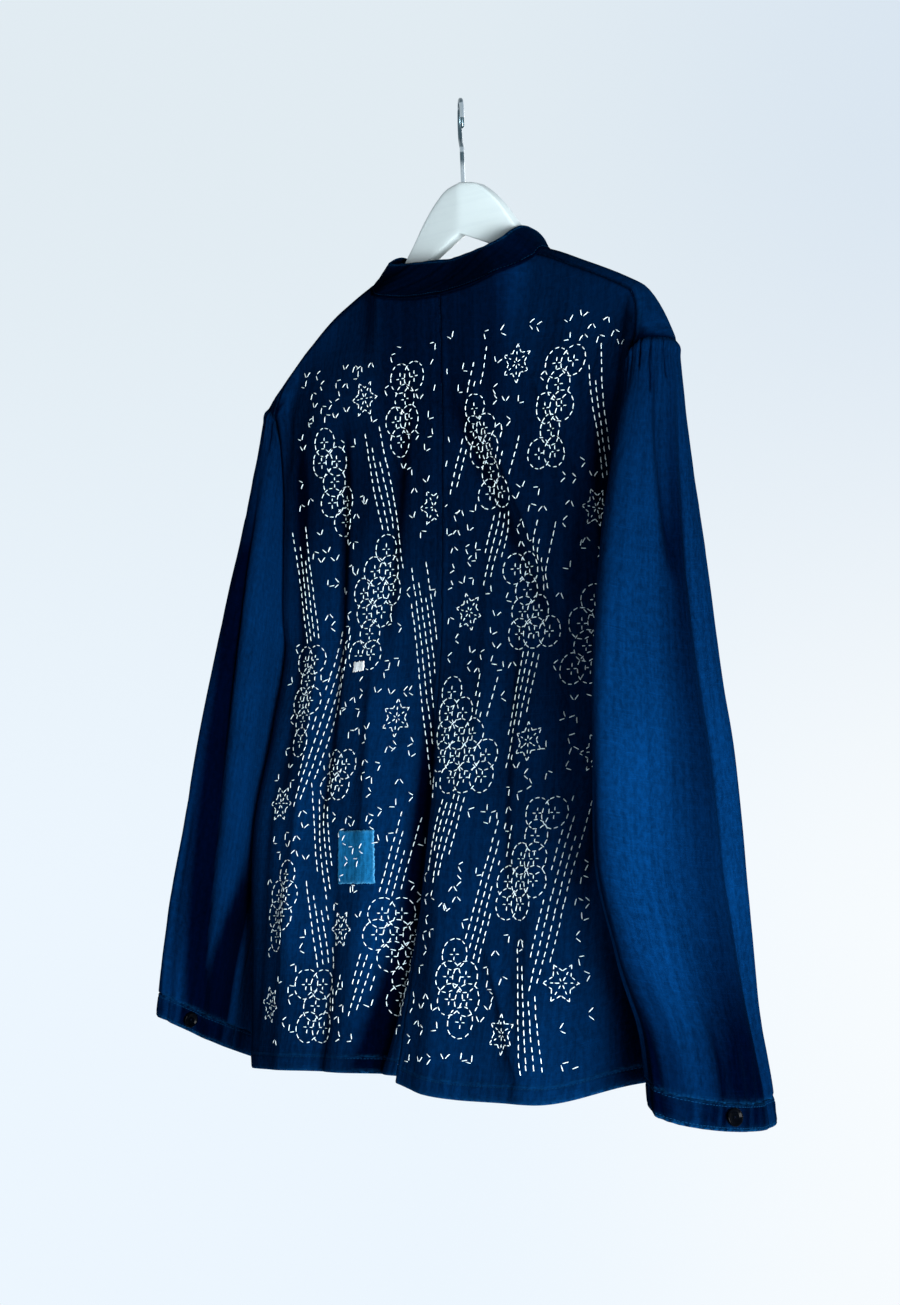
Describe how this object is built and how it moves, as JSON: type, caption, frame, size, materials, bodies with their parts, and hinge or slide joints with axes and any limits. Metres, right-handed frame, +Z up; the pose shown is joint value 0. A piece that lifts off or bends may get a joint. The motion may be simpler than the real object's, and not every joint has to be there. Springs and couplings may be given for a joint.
{
  "type": "patched work jacket on a wooden hanger",
  "caption": "Long-sleeved indigo work jacket with a stand collar and patched, running-stitched back, hanging open below on a contoured wooden hanger with a wire hook.",
  "frame": {"origin": "where the hook's wire rests on its rail, on the underside of the wire at the top of the hook", "axes": "+Z up; the garment's front faces -Y; +X is the wearer's left; the garment's centre plane is X = 0"},
  "size_m": [0.7225, 0.212, 0.9111],
  "materials": {
    "indigo_cloth": "matt woven cotton, washed",
    "patch_cloth": "matt woven cotton, light blue",
    "white_cotton": "matt white cotton",
    "painted_wood": "white lacquer, semi-gloss",
    "chrome": "polished wire",
    "black_plastic": "glossy black"
  },
  "bodies": {
    "root": {"back_left": "indigo_cloth", "back_right": "indigo_cloth", "front_left": "indigo_cloth", "front_right": "indigo_cloth", "collar": "indigo_cloth", "sleeve_left": "indigo_cloth", "sleeve_right": "indigo_cloth", "cuff_left": "indigo_cloth", "cuff_right": "indigo_cloth", "patch_blue": "patch_cloth", "patch_white": "white_cotton", "hanger": "painted_wood", "hook": "chrome", "button_cuff_left": "black_plastic", "button_cuff_right": "black_plastic", "button_front_1": "black_plastic", "button_front_2": "black_plastic", "button_front_3": "black_plastic", "button_front_4": "black_plastic", "button_front_5": "black_plastic"}
  },
  "joints": []
}
